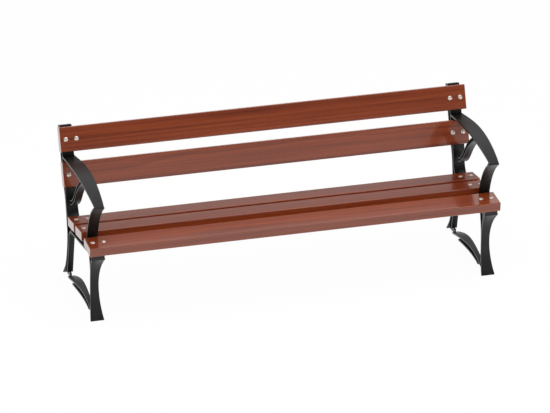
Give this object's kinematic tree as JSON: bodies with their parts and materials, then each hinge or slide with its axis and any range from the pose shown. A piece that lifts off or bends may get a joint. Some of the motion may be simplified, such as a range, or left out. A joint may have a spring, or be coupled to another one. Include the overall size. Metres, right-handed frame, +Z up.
{
  "type": "garden bench",
  "caption": "Slatted garden bench: hardwood seat and back slats bolted to cast end frames with curved legs, armrests and scroll brackets.",
  "frame": {"origin": "on the floor, below the middle of the bench", "axes": "+X along the slats, from the left end frame to the right one as seen from the front; +Y from the front to the back; +Z up"},
  "size_m": [2, 0.6754, 0.7687],
  "materials": {
    "cast_frame": "satin black coat over a slightly grainy casting",
    "slat_wood": "reddish brown hardwood under gloss lacquer",
    "fastener_steel": "bright zinc plate"
  },
  "bodies": {
    "root": {"left_end_frame": "cast_frame", "right_end_frame": "cast_frame", "front_seat_slat": "slat_wood", "middle_seat_slat": "slat_wood", "rear_seat_slat": "slat_wood", "lower_back_slat": "slat_wood", "upper_back_slat": "slat_wood", "front_seat_slat_bolts": "fastener_steel", "front_seat_slat_washers": "fastener_steel", "front_seat_slat_nuts": "fastener_steel", "middle_seat_slat_bolts": "fastener_steel", "middle_seat_slat_washers": "fastener_steel", "middle_seat_slat_nuts": "fastener_steel", "rear_seat_slat_bolts": "fastener_steel", "rear_seat_slat_washers": "fastener_steel", "rear_seat_slat_nuts": "fastener_steel", "lower_back_slat_bolts": "fastener_steel", "lower_back_slat_washers": "fastener_steel", "lower_back_slat_nuts": "fastener_steel", "upper_back_slat_bolts": "fastener_steel", "upper_back_slat_washers": "fastener_steel", "upper_back_slat_nuts": "fastener_steel"}
  },
  "joints": []
}
